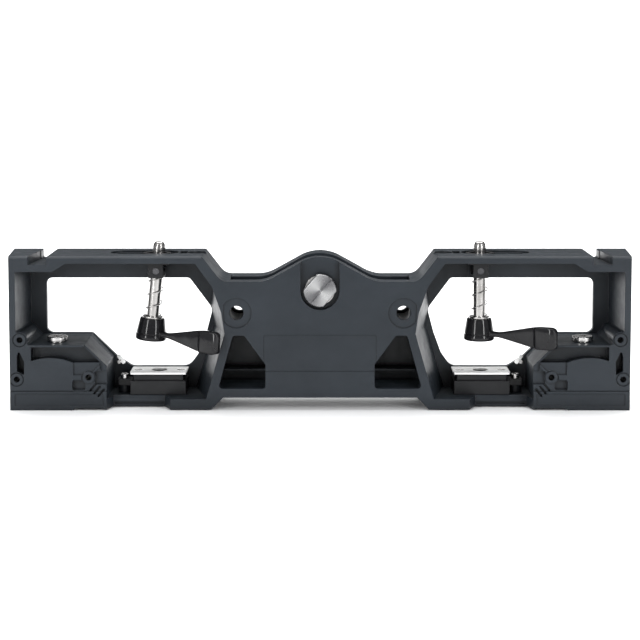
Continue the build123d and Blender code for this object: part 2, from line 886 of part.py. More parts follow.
def build_guide_shoe(side):
    """Shoe that slides in the beam's slot and carries the swivel between two cheeks."""
    x = side * stud_x + stud_shift
    seat_z = height - seat_depth
    bridge_top = beam_under_z - shoe_clearance
    with BuildPart() as shoe:
        with BuildSketch(Plane.XY.offset(seat_z - 0.1)) as neck:
            with Locations((x, stud_y)):
                RectangleRounded(shoe_length, slot_width - 2 * shoe_clearance, 1.0)
        extrude(neck.sketch, amount=shoe_bridge_bottom - seat_z + 0.1)
        with BuildSketch(Plane.XY.offset(shoe_bridge_bottom)) as bridge:
            with Locations((x, stud_y)):
                Rectangle(shoe_length, cheek_gap + 2 * cheek_thickness)
        extrude(bridge.sketch, amount=bridge_top - shoe_bridge_bottom)
        with BuildSketch(Plane.XY.offset(shoe_bottom)) as cheeks:
            with Locations((x, stud_y)):
                with GridLocations(0, cheek_gap + cheek_thickness, 1, 2):
                    Rectangle(cheek_width, cheek_thickness)
        extrude(cheeks.sketch, amount=shoe_bridge_bottom - shoe_bottom)
        with BuildSketch(Plane.XY.offset(height)) as opening:
            with Locations((x, stud_y)):
                SlotOverall(stud_opening_length, stud_opening_width)
        extrude(opening.sketch, amount=shoe_bridge_bottom - height - 0.5, mode=Mode.SUBTRACT)
        with BuildSketch(Plane(origin=(x, front_y, pivot_z), x_dir=(1, 0, 0), z_dir=(0, -1, 0))) as bore:
            Circle(trunnion_radius + stud_running)
        extrude(bore.sketch, amount=-body_depth, mode=Mode.SUBTRACT)
    return shoe


def build_slot_washer(side):
    with BuildPart() as washer:
        with BuildSketch(Plane.XY.offset(height - seat_depth)) as ring:
            with Locations((side * stud_x + stud_shift, stud_y)):
                SlotOverall(slot_washer_length, slot_washer_width)
                SlotOverall(stud_opening_length + 1.0, stud_opening_width, mode=Mode.SUBTRACT)
        extrude(ring.sketch, amount=slot_washer_thickness)
    return washer


def build_swivel_sleeve(side):
    """Sleeve that rocks on two trunnions and guides the stud."""
    base = stud_plane(side)
    half = swivel_height / 2
    with BuildPart() as sleeve:
        with BuildSketch(base.offset(-half)) as barrel:
            Circle(sleeve_radius)
        extrude(barrel.sketch, amount=swivel_height)
        front = stud_y - cheek_gap / 2 - cheek_thickness + 0.2
        trunnion_plane = Plane(origin=(base.origin.X, front, pivot_z), x_dir=(1, 0, 0), z_dir=(0, 1, 0))
        with BuildSketch(trunnion_plane) as trunnion:
            Circle(trunnion_radius)
        extrude(trunnion.sketch, amount=2 * (stud_y - front))
        with BuildSketch(base.offset(-half)) as bore:
            Circle(stud_radius + stud_running)
        extrude(bore.sketch, amount=swivel_height, mode=Mode.SUBTRACT)
    return sleeve


def build_draw_stud(side):
    """Turned stud: bullet nose above the beam and a wider insert inside the lever's hub."""
    insert_top = hub_top - 0.2
    nose_curve = []
    for step in range(1, 9):
        turn = radians(90 * step / 8)
        bulge = (stud_radius - nose_tip_radius) * sin(turn)
        nose_curve.append((nose_tip_radius + bulge, nose_top - nose_length * (1 - cos(turn))))
    thread_bore = lever_screw_radius + 0.05
    return turned(
        turned_plane(side),
        above_pivot(
            (0, nose_top),
            (nose_tip_radius, nose_top),
            *nose_curve,
            (stud_radius, insert_top),
            (insert_radius, insert_top),
            (insert_radius, insert_bottom),
            (thread_bore, insert_bottom),
            (thread_bore, insert_top - 0.5),
            (0, insert_top - 0.5),
        ),
    )


def coil(side, low, high, radius, wire, turns):
    """Round-wire spring about the stud's axis between two heights."""
    base = stud_plane(side)
    start = base.origin + base.z_dir * (low + wire - pivot_z)
    with BuildPart() as spring:
        with BuildLine() as path:
            Helix((high - low - 2 * wire) / turns, high - low - 2 * wire, radius, center=start, direction=base.z_dir)
        with BuildSketch(Plane(origin=path.line @ 0, z_dir=path.line % 0)) as section:
            Circle(wire)
        sweep(section.sketch, path=path.line)
    return spring


def build_spring_washer(side):
    low = hub_top + washer_gap
    bore = stud_radius + stud_running
    ring = above_pivot(
        (bore, low),
        (washer_radius, low),
        (washer_radius, low + washer_thickness),
        (bore, low + washer_thickness),
    )
    return turned(turned_plane(side), ring)


def build_stud_spring(side):
    low = hub_top + washer_gap + washer_thickness
    high = pivot_z - swivel_height / 2
    return coil(side, low, high, spring_radius, spring_wire, spring_turns)


# ---------------------------------------------------------------- clamping lever
def build_lever_arm(side):
    """Flat arm that flares from a slim neck into an upright blade."""
    upright = turned_plane(side, lever_angle)
    flat = Plane(origin=upright.origin, x_dir=upright.x_dir, z_dir=upright.y_dir).offset(arm_z - pivot_z)
    middle = arm_z - pivot_z
    blade_start = lever_reach - blade_length
    half_tall = blade_height / 2
    half_thick = blade_thickness / 2
    with BuildPart() as arm:
        with BuildSketch(upright) as silhouette:
            with BuildLine():
                FilletPolyline(
                    (hub_bottom_radius - 3, middle - lever_neck_height / 2),
                    (lever_neck_reach, middle - lever_neck_height / 2),
                    (blade_start, middle - half_tall + 0.4),
                    (lever_reach, middle - half_tall),
                    (lever_reach, middle + half_tall),
                    (blade_start, middle + half_tall - 0.4),
                    (lever_neck_reach, middle + lever_neck_height / 2),
                    (hub_bottom_radius - 3, middle + lever_neck_height / 2),
                    radius=[0, 8, 10, 3.5, 3.5, 10, 8, 0],
                    close=True,
                )
            make_face()
        extrude(silhouette.sketch, amount=half_thick, both=True)
        with BuildSketch(flat) as plan:
            with BuildLine():
                Polyline(
                    (hub_bottom_radius - 4, -lever_neck_width / 2),
                    (lever_neck_reach, -lever_neck_width / 2 + 0.4),
                    (blade_start - 3, -half_thick + 1.3),
                    (blade_start, -half_thick),
                    (lever_reach - half_thick, -half_thick),
                )
                CenterArc((lever_reach - half_thick, 0), half_thick, -90, 180)
                Polyline(
                    (lever_reach - half_thick, half_thick),
                    (blade_start, half_thick),
                    (blade_start - 3, half_thick - 1.3),
                    (lever_neck_reach, lever_neck_width / 2 - 0.4),
                    (hub_bottom_radius - 4, lever_neck_width / 2),
                    (hub_bottom_radius - 4, -lever_neck_width / 2),
                )
            make_face()
        extrude(plan.sketch, amount=blade_height, both=True, mode=Mode.INTERSECT)
    return arm


def build_clamp_lever(side):
    """Hub that lifts off the stud's insert, with its arm and blade."""
    arm = build_lever_arm(side)
    hub = turned(
        turned_plane(side),
        above_pivot(
            (insert_radius + 0.1, hub_top),
            (hub_top_radius, hub_top),
            (hub_top_radius + 1.2, hub_top - 6.5),
            (hub_bottom_radius, hub_bottom + 3.0),
            (hub_bottom_radius, hub_bottom + 1.2),
            (hub_bottom_radius - 0.9, hub_bottom),
            (lever_screw_head_radius + 0.5, hub_bottom),
            (lever_screw_head_radius + 0.5, hub_shoulder_bottom),
            (lever_screw_radius + 0.3, hub_shoulder_bottom),
            (lever_screw_radius + 0.3, hub_shoulder_top),
            (insert_radius + 0.1, hub_shoulder_top),
        ),
    )
    with BuildPart() as lever:
        add(hub.part)
        add(arm.part)
    return lever


def build_lever_screw(side):
    low = hub_bottom + 0.2
    neck = low + lever_screw_head_height
    top = hub_top - 2.0
    return turned(
        turned_plane(side),
        above_pivot(
            (0, low),
            (lever_screw_head_radius, low),
            (lever_screw_head_radius, neck),
            (lever_screw_radius, neck),
            (lever_screw_radius, top),
            (0, top),
        ),
    )


def build_lever_spring(side):
    low = hub_bottom + 0.2 + lever_screw_head_height
    return coil(side, low, hub_shoulder_bottom, lever_spring_radius - 0.5, lever_spring_wire, 2)


# ---------------------------------------------------------------- rest stack
def centred_block(x, y, across, deep, low, high, corner=0.6):
    with BuildSketch(Plane.XY.offset(low)) as face:
        with Locations((x, y)):
            RectangleRounded(across, deep, corner)
    return extrude(face.sketch, amount=high - low, mode=Mode.PRIVATE)


def build_rest_sleeve(side):
    """Fixed sleeve on the bay floor, with an ear that is screwed to its post."""
    x = side * stud_x
    ear_middle = side * (ear_x - 1.5)
    with BuildPart() as sleeve:
        add(centred_block(x, stud_y, sleeve_block_length, sleeve_block_width, floor_z, sleeve_block_top))
        add(centred_block(ear_middle, stud_y, ear_length + 3, ear_width, sleeve_block_top - ear_height, sleeve_block_top))
        cavity = (slide_length + 2 * slide_clearance, slide_width + 2 * slide_clearance)
        low = floor_z + sleeve_floor
        add(centred_block(x, stud_y, *cavity, low, sleeve_block_top + 1), mode=Mode.SUBTRACT)
        with BuildSketch(Plane.XY.offset(sleeve_block_top)) as hole:
            with Locations((side * ear_x, stud_y)):
                Circle(clamp_screw_radius + 0.2)
        extrude(hole.sketch, amount=-ear_height, mode=Mode.SUBTRACT)
    return sleeve


def build_rest_slide(side):
    """Block that slides up and down in the sleeve and carries the rest plate."""
    x = side * stud_x
    with BuildPart() as slide:
        low = floor_z + sleeve_floor + slide_floor_gap
        add(centred_block(x, stud_y, slide_length, slide_width, low, plate_bottom))
        with BuildSketch(Plane.XY.offset(plate_bottom)) as hole:
            with Locations((x, stud_y)):
                Circle(plate_hole_radius + 0.3)
        extrude(hole.sketch, amount=-8.0, mode=Mode.SUBTRACT)
        with BuildSketch(Plane.XY.offset(plate_bottom)) as holes:
            with Locations((x, stud_y)):
                with GridLocations(plate_screw_spacing, 0, 2, 1):
                    Circle(plate_screw_radius)
        extrude(holes.sketch, amount=-7.0, mode=Mode.SUBTRACT)
    return slide


def build_rest_plate(side):
    x = side * stud_x
    with BuildPart() as plate:
        add(centred_block(x, stud_y, plate_length, plate_width, plate_bottom, plate_top, 1.2))
        with BuildSketch(Plane.XY.offset(plate_bottom)) as hole:
            with Locations((x, stud_y)):
                Circle(plate_hole_radius)
        extrude(hole.sketch, amount=plate_thickness, mode=Mode.SUBTRACT)
        with Locations((x, stud_y, plate_top)):
            with GridLocations(plate_screw_spacing, 0, 2, 1):
                CounterSinkHole(plate_screw_radius, plate_screw_head_radius, counter_sink_angle=90)
    return plate


def build_plate_screws(side):
    """Two countersunk screws, flush with the plate."""
    x = side * stud_x
    neck = plate_top - plate_screw_head_radius + plate_screw_radius
    with BuildPart() as screws:
        for offset_x in (-plate_screw_spacing / 2, plate_screw_spacing / 2):
            spot = Plane(origin=(x + offset_x, stud_y, 0), x_dir=(1, 0, 0), z_dir=(0, -1, 0))
            screw = turned(
                spot,
                [
                    (0, plate_top - 0.05),
                    (plate_screw_head_radius - 0.1, plate_top - 0.05),
                    (plate_screw_radius - 0.1, neck - 0.05),
                    (plate_screw_radius - 0.1, plate_bottom - 6.0),
                    (0, plate_bottom - 6.0),
                ],
            )
            add(screw.part)
            with BuildSketch(Plane.XY.offset(plate_top)) as socket:
                with Locations((x + offset_x, stud_y)):
                    RegularPolygon(1.0, 6, major_radius=False)
            extrude(socket.sketch, amount=-0.9, mode=Mode.SUBTRACT)
    return screws


def build_rest_clamp_screw(side):
    """Cap screw through the sleeve's ear into its post."""
    spot = (side * ear_x, stud_y)
    head_top = sleeve_block_top + clamp_screw_head_height
    with BuildPart() as screw:
        with BuildSketch(Plane.XY.offset(sleeve_block_top)) as head:
            with Locations(spot):
                Circle(clamp_screw_head_radius)
        extrude(head.sketch, amount=clamp_screw_head_height)
        chamfer(screw.faces().sort_by(Axis.Z)[-1].edges(), length=0.4)
        with BuildSketch(Plane.XY.offset(sleeve_block_top)) as shank:
            with Locations(spot):
                Circle(clamp_screw_radius - 0.05)
        extrude(shank.sketch, amount=-ear_height - 5.0)
        with BuildSketch(Plane.XY.offset(head_top)) as socket:
            with Locations(spot):
                RegularPolygon(1.25, 6, major_radius=False)
        extrude(socket.sketch, amount=-1.6, mode=Mode.SUBTRACT)
    return screw


# ---------------------------------------------------------------- end blocks
def build_height_bush(side):
    spot = Plane(origin=(side * screw_x, screw_y, 0), x_dir=(1, 0, 0), z_dir=(0, -1, 0))
    low = shelf_z - bush_length
    outer = bush_radius - 0.01
    inner = height_screw_radius + stud_running
    top = shelf_z + bush_proud
    return turned(spot, [(inner, low), (outer, low), (outer, top), (inner, top)])


def build_height_screw(side):
    """Screw that turns in its bush and drives the levelling foot."""
    spot = (side * screw_x, screw_y)
    underside = shelf_z + bush_proud + head_gap
    top = underside + height_head_height
    with BuildPart() as screw:
        with BuildSketch(Plane.XY.offset(underside)) as head:
            with Locations(spot):
                Circle(height_head_radius)
        extrude(head.sketch, amount=height_head_height)
        chamfer(screw.faces().sort_by(Axis.Z)[-1].edges(), length=0.6)
        with BuildSketch(Plane.XY.offset(underside)) as shank:
            with Locations(spot):
                Circle(height_screw_radius)
        extrude(shank.sketch, amount=foot_floor + 1.0 - underside)
        with BuildSketch(Plane.XY.offset(top)) as socket:
            with Locations(spot):
                RegularPolygon(height_socket_flats / 2, 6, major_radius=False)
        extrude(socket.sketch, amount=-height_socket_depth, mode=Mode.SUBTRACT)
    return screw


def build_levelling_foot(side):
    """Round pad with a hexagonal stem that is keyed in the block and threaded on the screw."""
    spot = (side * screw_x, screw_y)
    with BuildPart() as foot:
        with BuildSketch(Plane.XY) as pad:
            with Locations(spot):
                Circle(foot_pad_radius)
        extrude(pad.sketch, amount=foot_pad_height)
        with BuildSketch(Plane.XY) as stem:
            with Locations(spot):
                RegularPolygon(foot_flats / 2, 6, major_radius=False)
        extrude(stem.sketch, amount=foot_height)
        with BuildSketch(Plane.XY.offset(foot_floor)) as bore:
            with Locations(spot):
                Circle(height_screw_radius + stud_running)
        extrude(bore.sketch, amount=foot_height, mode=Mode.SUBTRACT)
    return foot


def clip_spot(side):
    return side * (block_end_x - 4.7), rear_window_sill + 4.6


def build_edge_clip(side):
    """Small spring-steel clip on the back wall at the corner of the window."""
    x, z = clip_spot(side)
    with BuildPart() as clip:
        with BuildSketch(depth_plane(body_depth - rear_wall - clip_thickness)) as strip:
            with Locations((x, z)):
                RectangleRounded(clip_width, clip_length, 0.8, rotation=side * -37)
        extrude(strip.sketch, amount=-clip_thickness)
        with BuildSketch(depth_plane(0)) as hole:
            with Locations((x + side * 1.2, z - 1.6)):
                Circle(clip_rivet_radius)
        extrude(hole.sketch, amount=-body_depth, mode=Mode.SUBTRACT)
    return clip


def build_clip_rivet(side):
    x, z = clip_spot(side)
    spot = (x + side * 1.2, z - 1.6)
    near = body_depth - rear_wall - clip_thickness
    with BuildPart() as rivet:
        with BuildSketch(depth_plane(near)) as head:
            with Locations(spot):
                Circle(clip_rivet_radius + 0.5)
        extrude(head.sketch, amount=0.9)
        with BuildSketch(depth_plane(near)) as shank:
            with Locations(spot):
                Circle(clip_rivet_radius - 0.05)
        extrude(shank.sketch, amount=-clip_thickness)
    return rivet


# ---------------------------------------------------------------- build every piece
build_front_frame()
build_rear_housing()
build_rear_cover()
build_housing_screws()
build_cover_screws()
build_centre_lock()
build_lock_ring("lock_washer", lock_recess_depth - lock_washer_thickness, lock_washer_thickness, 9.4)
build_lock_cam()
build_lock_ring("lock_ring", inner_box_depth + box_wall + 0.5 + lock_cam_thickness, 1.0, 7.4)

for side, name in ((-1, "left"), (1, "right")):
    pieces = {
        "guide_shoe": build_guide_shoe(side),
        "slot_washer": build_slot_washer(side),
        "swivel_sleeve": build_swivel_sleeve(side),
        "draw_stud": build_draw_stud(side),
        "stud_spring": build_stud_spring(side),
        "spring_washer": build_spring_washer(side),
        "clamp_lever": build_clamp_lever(side),
        "lever_screw": build_lever_screw(side),
        "lever_spring": build_lever_spring(side),
        "rest_sleeve": build_rest_sleeve(side),
        "rest_slide": build_rest_slide(side),
        "rest_plate": build_rest_plate(side),
        "plate_screws": build_plate_screws(side),
        "rest_clamp_screw": build_rest_clamp_screw(side),
        "height_bush": build_height_bush(side),
        "height_screw": build_height_screw(side),
        "levelling_foot": build_levelling_foot(side),
        "edge_clip": build_edge_clip(side),
        "clip_rivet": build_clip_rivet(side),
    }
    for piece, builder in pieces.items():
        finish(f"{name}_{piece}", builder)
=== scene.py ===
import json
import math

import bmesh
import bpy
from mathutils import Matrix, Vector


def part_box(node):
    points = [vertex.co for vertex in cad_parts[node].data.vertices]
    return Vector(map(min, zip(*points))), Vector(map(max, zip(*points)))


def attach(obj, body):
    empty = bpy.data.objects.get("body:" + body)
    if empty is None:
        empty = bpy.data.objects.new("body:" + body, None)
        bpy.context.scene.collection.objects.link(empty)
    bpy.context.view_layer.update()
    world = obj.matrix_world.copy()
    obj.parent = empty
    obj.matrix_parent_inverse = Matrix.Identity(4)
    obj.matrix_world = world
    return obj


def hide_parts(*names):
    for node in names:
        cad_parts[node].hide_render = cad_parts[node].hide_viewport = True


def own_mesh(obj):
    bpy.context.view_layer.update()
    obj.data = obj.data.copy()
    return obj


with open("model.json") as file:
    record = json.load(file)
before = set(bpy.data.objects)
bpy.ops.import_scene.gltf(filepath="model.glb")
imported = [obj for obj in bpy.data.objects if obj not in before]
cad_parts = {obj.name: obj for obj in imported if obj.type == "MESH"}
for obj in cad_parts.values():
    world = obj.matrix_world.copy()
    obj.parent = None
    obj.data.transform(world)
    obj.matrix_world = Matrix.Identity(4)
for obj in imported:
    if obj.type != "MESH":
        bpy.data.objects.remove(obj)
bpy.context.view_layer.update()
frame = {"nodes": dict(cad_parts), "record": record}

nodes = frame["nodes"]
mm = 0.001

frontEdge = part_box("front_frame")[0].y


def middleOf(node):
    low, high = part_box(node)
    return (Vector(low) + Vector(high)) / 2


# small builders for node materials
def newMaterial(name):
    material = bpy.data.materials.new(name)
    material.use_nodes = True
    tree = material.node_tree
    shader = tree.nodes["Principled BSDF"]
    return material, tree, shader


def objectCoordinates(tree, stretch=(1, 1, 1)):
    place = tree.nodes.new("ShaderNodeTexCoord")
    mapping = tree.nodes.new("ShaderNodeMapping")
    mapping.inputs["Scale"].default_value = stretch
    tree.links.new(place.outputs["Object"], mapping.inputs["Vector"])
    return mapping.outputs["Vector"]


def noise(tree, vector, scale, detail=3.0, rough=0.55):
    texture = tree.nodes.new("ShaderNodeTexNoise")
    texture.inputs["Scale"].default_value = scale
    texture.inputs["Detail"].default_value = detail
    texture.inputs["Roughness"].default_value = rough
    tree.links.new(vector, texture.inputs["Vector"])
    return texture.outputs["Fac"]


def ramp(tree, value, low, high, fromLow=0.3, fromHigh=0.7):
    spread = tree.nodes.new("ShaderNodeMapRange")
    spread.inputs["From Min"].default_value = fromLow
    spread.inputs["From Max"].default_value = fromHigh
    spread.inputs["To Min"].default_value = low
    spread.inputs["To Max"].default_value = high
    tree.links.new(value, spread.inputs["Value"])
    return spread.outputs["Result"]


def mixColour(tree, value, first, second):
    mix = tree.nodes.new("ShaderNodeMix")
    mix.data_type = "RGBA"
    mix.inputs[6].default_value = (*first, 1)
    mix.inputs[7].default_value = (*second, 1)
    tree.links.new(value, mix.inputs["Factor"])
    return mix.outputs[2]


def bump(tree, height, distance, strength, under=None):
    node = tree.nodes.new("ShaderNodeBump")
    node.inputs["Distance"].default_value = distance
    node.inputs["Strength"].default_value = strength
    tree.links.new(height, node.inputs["Height"])
    if under is not None:
        tree.links.new(under, node.inputs["Normal"])
    return node.outputs["Normal"]


# edges are rounded in shading, and plastic gets painted shade: its colour is darkened by ambient occlusion
# where other faces are near
shading = {"samples": 6, "paintedShadeReach": 0.02, "paintedShaded": 0.25, "open": 0.85}


def softEdges(tree, radius):
    edges = tree.nodes.new("ShaderNodeBevel")
    edges.samples = shading["samples"]
    edges.inputs["Radius"].default_value = radius
    return edges.outputs["Normal"]


# painted shade: ambient occlusion darkens the colour in recesses and between parts, down to the low factor
def paintedShade(tree, low):
    shade = tree.nodes.new("ShaderNodeAmbientOcclusion")
    shade.samples = shading["samples"]
    shade.inputs["Distance"].default_value = shading["paintedShadeReach"]
    return ramp(tree, shade.outputs["AO"], low, 1, shading["paintedShaded"], shading["open"])


mouldLook = {
    "dark": (0.0115, 0.0152, 0.0198),
    "light": (0.0180, 0.0232, 0.0295),
    "roughness": (0.33, 0.46),
    "edge": 0.0007,
    # darkest factor of the painted shade in recesses
    "paintedShade": 0.3,
    "specular": 0.27,
    "grainSize": 900,
    "grainDepth": 0.00004,
    "flowSize": 18,
}
mouldDetail = {
    "flowStretch": (1, 2.2, 1.6),
    "flowDepth": 0.0006,
    "flowStrength": 0.12,
    "grainStrength": 0.5,
    "polishSize": 140,
}


def mouldedPlastic(name, look):
    material, tree, shader = newMaterial(name)
    vector = objectCoordinates(tree)
    grain = noise(tree, vector, look["grainSize"], 2.0, 0.6)
    flow = noise(tree, objectCoordinates(tree, mouldDetail["flowStretch"]), look["flowSize"], 5.0, 0.6)
    colour = mixColour(tree, ramp(tree, flow, 0, 1), look["dark"], look["light"])
    # the base colour is multiplied by the painted shade, so recesses and gaps between parts are painted
    # darker
    paintedShaded = tree.nodes.new("ShaderNodeVectorMath")
    paintedShaded.operation = "SCALE"
    tree.links.new(colour, paintedShaded.inputs[0])
    tree.links.new(paintedShade(tree, look["paintedShade"]), paintedShaded.inputs["Scale"])
    tree.links.new(paintedShaded.outputs["Vector"], shader.inputs["Base Color"])
    shader.inputs["Specular IOR Level"].default_value = look["specular"]
    rough = ramp(tree, noise(tree, vector, mouldDetail["polishSize"], 4.0, 0.6), *look["roughness"])
    tree.links.new(rough, shader.inputs["Roughness"])
    edges = softEdges(tree, look["edge"])
    soft = bump(tree, flow, mouldDetail["flowDepth"], mouldDetail["flowStrength"], edges)
    normal = bump(tree, grain, look["grainDepth"], mouldDetail["grainStrength"], soft)
    tree.links.new(normal, shader.inputs["Normal"])
    return material


steelDetail = {"stainSize": 60, "lineStrength": 0.4, "edge": 0.00025}


def turnedSteel(name, look):
    material, tree, shader = newMaterial(name)
    shader.inputs["Metallic"].default_value = 1.0
    vector = objectCoordinates(tree, look["stretch"])
    lines = noise(tree, vector, look["lineSize"], 3.0, 0.7)
    stain = noise(tree, objectCoordinates(tree), steelDetail["stainSize"], 4.0, 0.6)
    colour = mixColour(tree, ramp(tree, stain, 0, 1), look["dark"], look["light"])
    tree.links.new(colour, shader.inputs["Base Color"])
    tree.links.new(ramp(tree, lines, *look["roughness"]), shader.inputs["Roughness"])
    edges = softEdges(tree, steelDetail["edge"])
    normal = bump(tree, lines, look["depth"], steelDetail["lineStrength"], edges)
    tree.links.new(normal, shader.inputs["Normal"])
    return material


# the lock's face is brushed round its middle, and its light and dark sectors are painted highlights in the
# base colour
def brushedLockPaintedHighlights(name, look, centre):
    material, tree, shader = newMaterial(name)
    shader.inputs["Metallic"].default_value = 1.0
    place = tree.nodes.new("ShaderNodeTexCoord")
    shifted = tree.nodes.new("ShaderNodeMapping")
    shifted.inputs["Location"].default_value = (-centre.x, 0, -centre.z)
    tree.links.new(place.outputs["Object"], shifted.inputs["Vector"])
    turned = tree.nodes.new("ShaderNodeMapping")
    turned.inputs["Rotation"].default_value = (math.radians(90), 0, 0)
    tree.links.new(shifted.outputs["Vector"], turned.inputs["Vector"])
    around = tree.nodes.new("ShaderNodeTexGradient")
    around.gradient_type = "RADIAL"
    tree.links.new(turned.outputs["Vector"], around.inputs["Vector"])
    beats = tree.nodes.new("ShaderNodeMath")
    beats.operation = "MULTIPLY"
    beats.inputs[1].default_value = look["highlightSectors"] * 2 * math.pi
    tree.links.new(around.outputs["Fac"], beats.inputs[0])
    paintedHighlightWave = tree.nodes.new("ShaderNodeMath")
    paintedHighlightWave.operation = "SINE"
    tree.links.new(beats.outputs["Value"], paintedHighlightWave.inputs[0])
    # painted highlight: the base colour swings from dark to light in sectors round the lock's middle
    colour = mixColour(tree, ramp(tree, paintedHighlightWave.outputs["Value"], 0, 1, -1, 1), look["dark"], look["light"])
    tree.links.new(colour, shader.inputs["Base Color"])
    lines = noise(tree, objectCoordinates(tree), look["lineSize"], 3.0, 0.7)
    tree.links.new(ramp(tree, lines, *look["roughness"]), shader.inputs["Roughness"])
    normal = bump(tree, lines, look["depth"], look["lineStrength"], softEdges(tree, look["edge"]))
    tree.links.new(normal, shader.inputs["Normal"])
    return material


steelLooks = {
    "turned_steel": {"dark": (0.27, 0.26, 0.25), "light": (0.46, 0.45, 0.44), "roughness": (0.16, 0.30),
                     "stretch": (1, 1, 40), "lineSize": 60, "depth": 0.00003},
    "spring_steel": {"dark": (0.34, 0.33, 0.32), "light": (0.55, 0.54, 0.53), "roughness": (0.2, 0.34),
                     "stretch": (1, 1, 1), "lineSize": 900, "depth": 0.00002},
    "plate_steel": {"dark": (0.78, 0.78, 0.77), "light": (0.88, 0.88, 0.87), "roughness": (0.28, 0.42),
                    "stretch": (1, 30, 1), "lineSize": 70, "depth": 0.00002},
    "screw_steel": {"dark": (0.44, 0.43, 0.42), "light": (0.62, 0.61, 0.60), "roughness": (0.18, 0.32),
                    "stretch": (1, 1, 8), "lineSize": 260, "depth": 0.00002},
    "strip_steel": {"dark": (0.74, 0.74, 0.73), "light": (0.85, 0.85, 0.84), "roughness": (0.18, 0.28),
                    "stretch": (1, 1, 12), "lineSize": 220, "depth": 0.00001},
}
blackSteelLook = {"dark": (0.05, 0.05, 0.055), "light": (0.12, 0.12, 0.125), "roughness": (0.25, 0.4),
                  "stretch": (1, 1, 1), "lineSize": 300, "depth": 0.00002}
# the lock's dark and light colours are the ends of its painted highlight sectors
lockLook = {"dark": (0.14, 0.14, 0.145), "light": (0.44, 0.44, 0.44), "roughness": (0.24, 0.36),
            "highlightSectors": 2, "lineSize": 500, "depth": 0.00002, "lineStrength": 0.3, "edge": 0.0004}

leverLook = {
    "dark": (0.006, 0.006, 0.007),
    "light": (0.012, 0.012, 0.013),
    "roughness": (0.05, 0.11),
    "edge": 0.0004,
    # darkest factor of the painted shade in recesses
    "paintedShade": 0.3,
    "specular": 0.27,
    "grainSize": 500,
    "grainDepth": 0.00001,
    "flowSize": 40,
}
shoeLook = {
    "dark": (0.007, 0.0074, 0.0085),
    "light": (0.013, 0.0136, 0.015),
    "roughness": (0.34, 0.46),
    "edge": 0.0004,
    # darkest factor of the painted shade in recesses
    "paintedShade": 0.3,
    "specular": 0.27,
    "grainSize": 700,
    "grainDepth": 0.00003,
    "flowSize": 60,
}
coverLook = dict(mouldLook, dark=(0.010, 0.012, 0.014), light=(0.018, 0.020, 0.024))

materials = {
    "frame_plastic": mouldedPlastic("frame_plastic", mouldLook),
    "housing_plastic": mouldedPlastic("housing_plastic", mouldLook),
    "cover_plastic": mouldedPlastic("cover_plastic", coverLook),
    "shoe_plastic": mouldedPlastic("shoe_plastic", shoeLook),
    "rest_plastic": mouldedPlastic("rest_plastic", dict(shoeLook, grainSize=500)),
    "lever_plastic": mouldedPlastic("lever_plastic", leverLook),
    "lock_steel": brushedLockPaintedHighlights("lock_steel", lockLook, middleOf("centre_lock")),
}
for steelName, steelLook in steelLooks.items():
    materials[steelName] = turnedSteel(steelName, steelLook)
print("materials made")

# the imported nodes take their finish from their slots; slot washers and swivel sleeves are blackened
slotOf = {entry["node"]: entry["material_slot"] for entry in frame["record"]["subparts"]}
blackened = turnedSteel("blackened_steel", blackSteelLook)
for name, node in nodes.items():
    node.data.materials.clear()
    isBlackened = name.endswith(("_slot_washer", "_swivel_sleeve"))
    node.data.materials.append(blackened if isBlackened else materials[slotOf[name]])
print("frame dressed")

jointOf = {joint["name"]: joint for joint in frame["record"]["behaviour"]["joints"]}


# levers and springs are made upright on the Z axis, then carried to the stud's own leaning axis
def studFrame(side):
    joint = jointOf[side + "_stud_turn"]
    pivot = Vector(joint["pos_m"])
    lean = Vector((0, 0, 1)).rotation_difference(Vector(joint["axis"])).to_matrix().to_4x4()
    return Matrix.Translation(pivot) @ lean @ Matrix.Translation((0, 0, -pivot.z))


def quarterTurn(mesh, verts, axis):
    bmesh.ops.rotate(mesh, verts=verts, cent=(0, 0, 0), matrix=Matrix.Rotation(math.radians(90), 3, axis))


def newObject(name, mesh, material):
    data = bpy.data.meshes.new(name)
    mesh.to_mesh(data)
    mesh.free()
    data.materials.append(material)
    made = bpy.data.objects.new(name, data)
    bpy.context.collection.objects.link(made)
    return made


def ridingPiece(name, mesh, side, body, slotName, smoothAngle):
    bmesh.ops.transform(mesh, matrix=studFrame(side), verts=mesh.verts)
    bmesh.ops.recalc_face_normals(mesh, faces=mesh.faces)
    piece = newObject(name, mesh, materials[slotName])
    piece.data.shade_smooth()
    piece.data.set_sharp_from_angle(angle=math.radians(smoothAngle))
    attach(piece, f"{side}_{body}")
    return piece


# clamping levers: a turned hub, given by radius and height, and an arm that widens into a blade
hubLook = {
    "profile": [(6.1, 55.2), (7.2, 55.2), (7.8, 55.0), (8.1, 54.4), (8.8, 50.5), (9.5, 46.4), (9.6, 45.7),
                (9.35, 45.4), (9.35, 45.0), (9.75, 44.7), (10.05, 43.4), (10.05, 42.2), (9.8, 41.5),
                (9.2, 41.05), (8.7, 41.0), (5.0, 41.0), (5.0, 45.5), (3.0, 45.5), (3.0, 47.3), (6.1, 47.3)],
    "steps": 96,
}
# each station is the reach from the stud, the half height and the half thickness
armLook = {
    "height": 45.4,
    "angle": -35,
    "rise": {"left": 2.6, "right": 1.2},
    "stations": [(6, 1.9, 2.7), (12, 1.7, 2.4), (15, 1.7, 2.3), (20, 2.6, 2.2), (30, 4.7, 2.0),
                 (39, 6.6, 1.9), (40.2, 6.8, 1.9), (41.6, 7.0, 3.0), (43, 7.1, 3.2), (52, 7.1, 3.2),
                 (54.6, 6.4, 2.6), (55.8, 5.0, 1.6)],
    "round": 1.1,
    "shortestLength": 0.5,
    "smoothAngle": 35,
}


def addHub(mesh):
    corners = [mesh.verts.new((radius * mm, 0, height * mm)) for radius, height in hubLook["profile"]]
    rim = [mesh.edges.new((first, second)) for first, second in zip(corners, corners[1:] + corners[:1])]
    bmesh.ops.spin(mesh, geom=corners + rim, cent=(0, 0, 0), axis=(0, 0, 1), angle=2 * math.pi,
                   steps=hubLook["steps"], use_merge=True)


